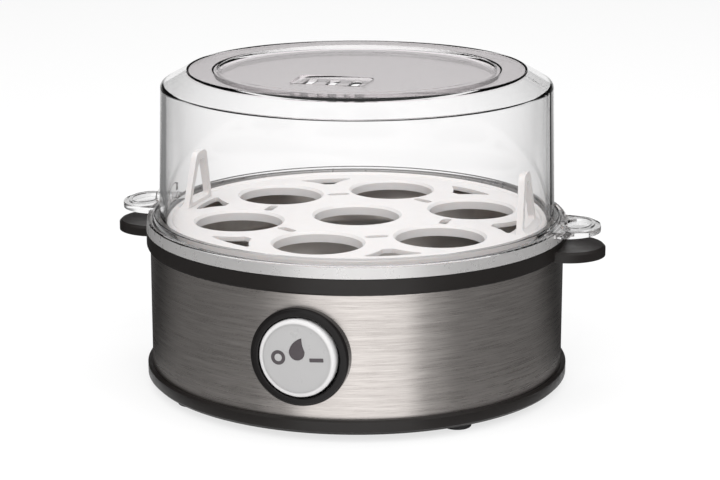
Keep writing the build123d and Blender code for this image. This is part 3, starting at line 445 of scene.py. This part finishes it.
def bar_points(centre, half, turn, corner=0.25 * MM, count=6):
    """Points round a turned bar with rounded corners."""
    points = []
    for k, (sx, sy) in enumerate(((1, 1), (-1, 1), (-1, -1), (1, -1))):
        for i in range(count + 1):
            bend = math.pi / 2 * (k + i / count)
            u = sx * (half[0] - corner) + corner * math.cos(bend)
            v = sy * (half[1] - corner) + corner * math.sin(bend)
            points.append(
                (
                    centre[0] + u * math.cos(turn) - v * math.sin(turn),
                    centre[1] + u * math.sin(turn) + v * math.cos(turn),
                )
            )
    return points


printed(
    "off_mark",
    circle_points(OFF_MARK_CENTRE, OFF_MARK_OUTER),
    circle_points(OFF_MARK_CENTRE, OFF_MARK_INNER),
)
printed("on_mark", bar_points(ON_MARK_CENTRE, ON_MARK_HALF, ON_MARK_TURN))


# Studio

# Pale floor, which gives off part of its white to the camera and to rays through clear parts
FLOOR_HALF = 6.0
FLOOR_GLOW = 0.72
floor_mesh = bpy.data.meshes.new("floor")
corners = [(x * FLOOR_HALF, y * FLOOR_HALF, 0) for x, y in ((-1, -1), (1, -1), (1, 1), (-1, 1))]
floor_mesh.from_pydata(corners, [], [(0, 1, 2, 3)])
floor = placed("floor", floor_mesh)
paper = Finish("paper", (0.93, 0.93, 0.93), 0.9, Specular_IOR_Level=0.1)
paper.vary_colour(paper.noise(3.0), 0.005)
ray = paper.node("ShaderNodeLightPath")
glow = paper.node("ShaderNodeEmission")
seen = paper.math("MAXIMUM", ray.outputs["Is Camera Ray"], ray.outputs["Is Transmission Ray"])
mixed = paper.node("ShaderNodeMixShader")
paper.link(paper.math("MULTIPLY", seen, FLOOR_GLOW), mixed.inputs[0])
paper.link(paper.shader.outputs[0], mixed.inputs[1])
paper.link(glow.outputs[0], mixed.inputs[2])
paper.link(mixed.outputs[0], paper.output.inputs["Surface"])
floor_mesh.materials.append(paper.material)

azimuth = math.radians(CAMERA_AZIMUTH)
target = Vector(CAMERA_TARGET)


def aim(made, turn, rise, distance):
    """Put a lamp or the camera round the object and face it to the target.

    turn is in degrees from the photograph's side, and rise in degrees above the floor.
    """
    a, e = azimuth + math.radians(turn), math.radians(rise)
    outward = Vector((math.sin(a) * math.cos(e), -math.cos(a) * math.cos(e), math.sin(e)))
    made.location = target + outward * distance
    made.rotation_mode = "QUATERNION"
    made.rotation_quaternion = (made.location - target).to_track_quat("Z", "Y")


# Shell of screens round the object, seen only in its gloss and through its clear parts:
# bright in front of it and behind it, dark at the sides. It starts at the foot ring.
SHELL_R = 1.6
SHELL_FLOOR = 1.5 * MM
SHELL_FLOOR_RINGS = (0.092, 0.13, 0.3, 0.8, SHELL_R)
SHELL_RISE = 6
SHELL_STEPS = 96
DRUM_FOCUS = 44.0 * MM
profile = [(r, SHELL_FLOOR) for r in SHELL_FLOOR_RINGS]
for rise in range(SHELL_RISE, 91, SHELL_RISE):
    t = math.radians(rise)
    profile.append((SHELL_R * math.cos(t), SHELL_FLOOR + SHELL_R * math.sin(t)))
verts, faces = [], []
for r, z in profile:
    for i in range(SHELL_STEPS):
        t = 2 * math.pi * i / SHELL_STEPS
        verts.append((r * math.cos(t), r * math.sin(t), z))
for a in range(0, len(verts) - SHELL_STEPS, SHELL_STEPS):
    b = a + SHELL_STEPS
    for i in range(SHELL_STEPS):
        j = (i + 1) % SHELL_STEPS
        faces.append((a + i, a + j, b + j, b + i))
shell_mesh = bpy.data.meshes.new("shell")
shell_mesh.from_pydata(verts, [], faces)
shell = placed("shell", shell_mesh)
shell.rotation_euler = (0.0, 0.0, azimuth)
shell.visible_camera = False
shell.visible_diffuse = False
shell.visible_shadow = False
shell.visible_volume_scatter = False
screens = Finish("screens", (0, 0, 0), 1.0)
split = screens.node("ShaderNodeSeparateXYZ")
screens.link(screens.place(), split.inputs[0])
forward = screens.math("SUBTRACT", screens.math("MULTIPLY", split.outputs["Y"], -1.0), DRUM_FOCUS)
sideways = screens.math("ABSOLUTE", split.outputs["X"], 0.0)
turn = screens.math("DIVIDE", screens.math("ARCTAN2", sideways, forward), math.pi)


def screen_ramp(stops):
    """Brightness of the screens round the object, from in front of it (0) to behind it (1)."""
    made = screens.node("ShaderNodeValToRGB")
    made.color_ramp.interpolation = "EASE"
    while len(made.color_ramp.elements) < len(stops):
        made.color_ramp.elements.new(0.5)
    for element, (at, level) in zip(made.color_ramp.elements, stops):
        element.position = at
        element.color = (level, level, level, 1.0)
    screens.link(turn, made.inputs[0])
    return made.outputs["Color"]


# Turn and brightness: in gloss, in gloss low down, through edges where a ray has turned back
# inside clear plastic, and straight through its walls
GLOSS_STOPS = (
    (0.0, 1.3), (0.13, 1.2), (0.225, 0.42), (0.31, 0.2), (0.55, 0.16), (0.72, 0.03), (1.0, 0.03),
)
LOW_STOPS = (
    (0.0, 1.3), (0.13, 1.2), (0.225, 0.42), (0.31, 0.22), (0.55, 0.17), (0.72, 0.04),
    (0.83, 0.08), (0.93, 0.8), (1.0, 1.0),
)
EDGE_STOPS = (
    (0.0, 1.0), (0.3, 0.9), (0.45, 0.3), (0.72, 0.1), (0.86, 0.35), (0.93, 1.0), (1.0, 1.0),
)
SHEET_STOPS = (
    (0.0, 1.0), (0.3, 0.95), (0.5, 0.72), (0.8, 0.62), (0.9, 0.8), (0.95, 1.0), (1.0, 1.0),
)
# Heights between which the low screens give way to the others, and these to a white top
LOW_TO_HIGH = (0.24, 0.3)
HIGH_TO_TOP = (1.15, 1.45)
ray = screens.node("ShaderNodeLightPath")
low_down = screens.spread(split.outputs["Z"], 1.0, 0.0, *LOW_TO_HIGH)
in_gloss = screens.tint(low_down, screen_ramp(GLOSS_STOPS), screen_ramp(LOW_STOPS))
turns = screens.math("SUBTRACT", ray.outputs["Ray Depth"], ray.outputs["Transmission Depth"])
turned_back = screens.math("GREATER_THAN", turns, 0.5)
through = screens.tint(turned_back, screen_ramp(SHEET_STOPS), screen_ramp(EDGE_STOPS))
around_it = screens.tint(ray.outputs["Is Transmission Ray"], in_gloss, through)
near_top = screens.spread(split.outputs["Z"], 0.0, 1.0, *HIGH_TO_TOP)
shine = screens.node("ShaderNodeEmission")
screens.link(screens.tint(near_top, around_it, (1.0, 1.0, 1.0)), shine.inputs["Color"])
screens.link(shine.outputs[0], screens.output.inputs["Surface"])
shell_mesh.materials.append(screens.material)


LAMP_DISTANCE = 1.4
WORLD_STRENGTH = 0.55


def softbox(name, turn, rise, width, height, watts):
    """Area lamp aimed at the object."""
    data = bpy.data.lights.new(name, "AREA")
    data.shape = "RECTANGLE"
    data.size, data.size_y = width, height
    data.energy = watts
    made = placed(name, data)
    aim(made, turn, rise, LAMP_DISTANCE)
    made.visible_glossy = False
    made.visible_transmission = False


softbox("lamp_front", turn=0, rise=35, width=1.0, height=0.8, watts=9.0)
softbox("lamp_left", turn=-60, rise=45, width=0.7, height=0.9, watts=5.0)
softbox("lamp_right", turn=60, rise=45, width=0.7, height=0.9, watts=5.0)
softbox("lamp_top", turn=180, rise=75, width=1.2, height=1.2, watts=7.0)

world = bpy.data.worlds.new("studio")
bpy.context.scene.world = world
world.use_nodes = True
sky = world.node_tree.nodes["Background"]
sky.inputs["Color"].default_value = (1.0, 1.0, 1.0, 1.0)
sky.inputs["Strength"].default_value = WORLD_STRENGTH

camera_data = bpy.data.cameras.new("camera")
camera_data.lens = CAMERA_LENS
camera_data.sensor_width = 36.0
camera_data.shift_x, camera_data.shift_y = CAMERA_SHIFT
camera_data.clip_start, camera_data.clip_end = 0.05, 50.0
camera = placed("camera", camera_data)
aim(camera, 0, CAMERA_ELEVATION, CAMERA_DISTANCE)
bpy.context.scene.camera = camera

bpy.context.scene.view_settings.view_transform = "Standard"
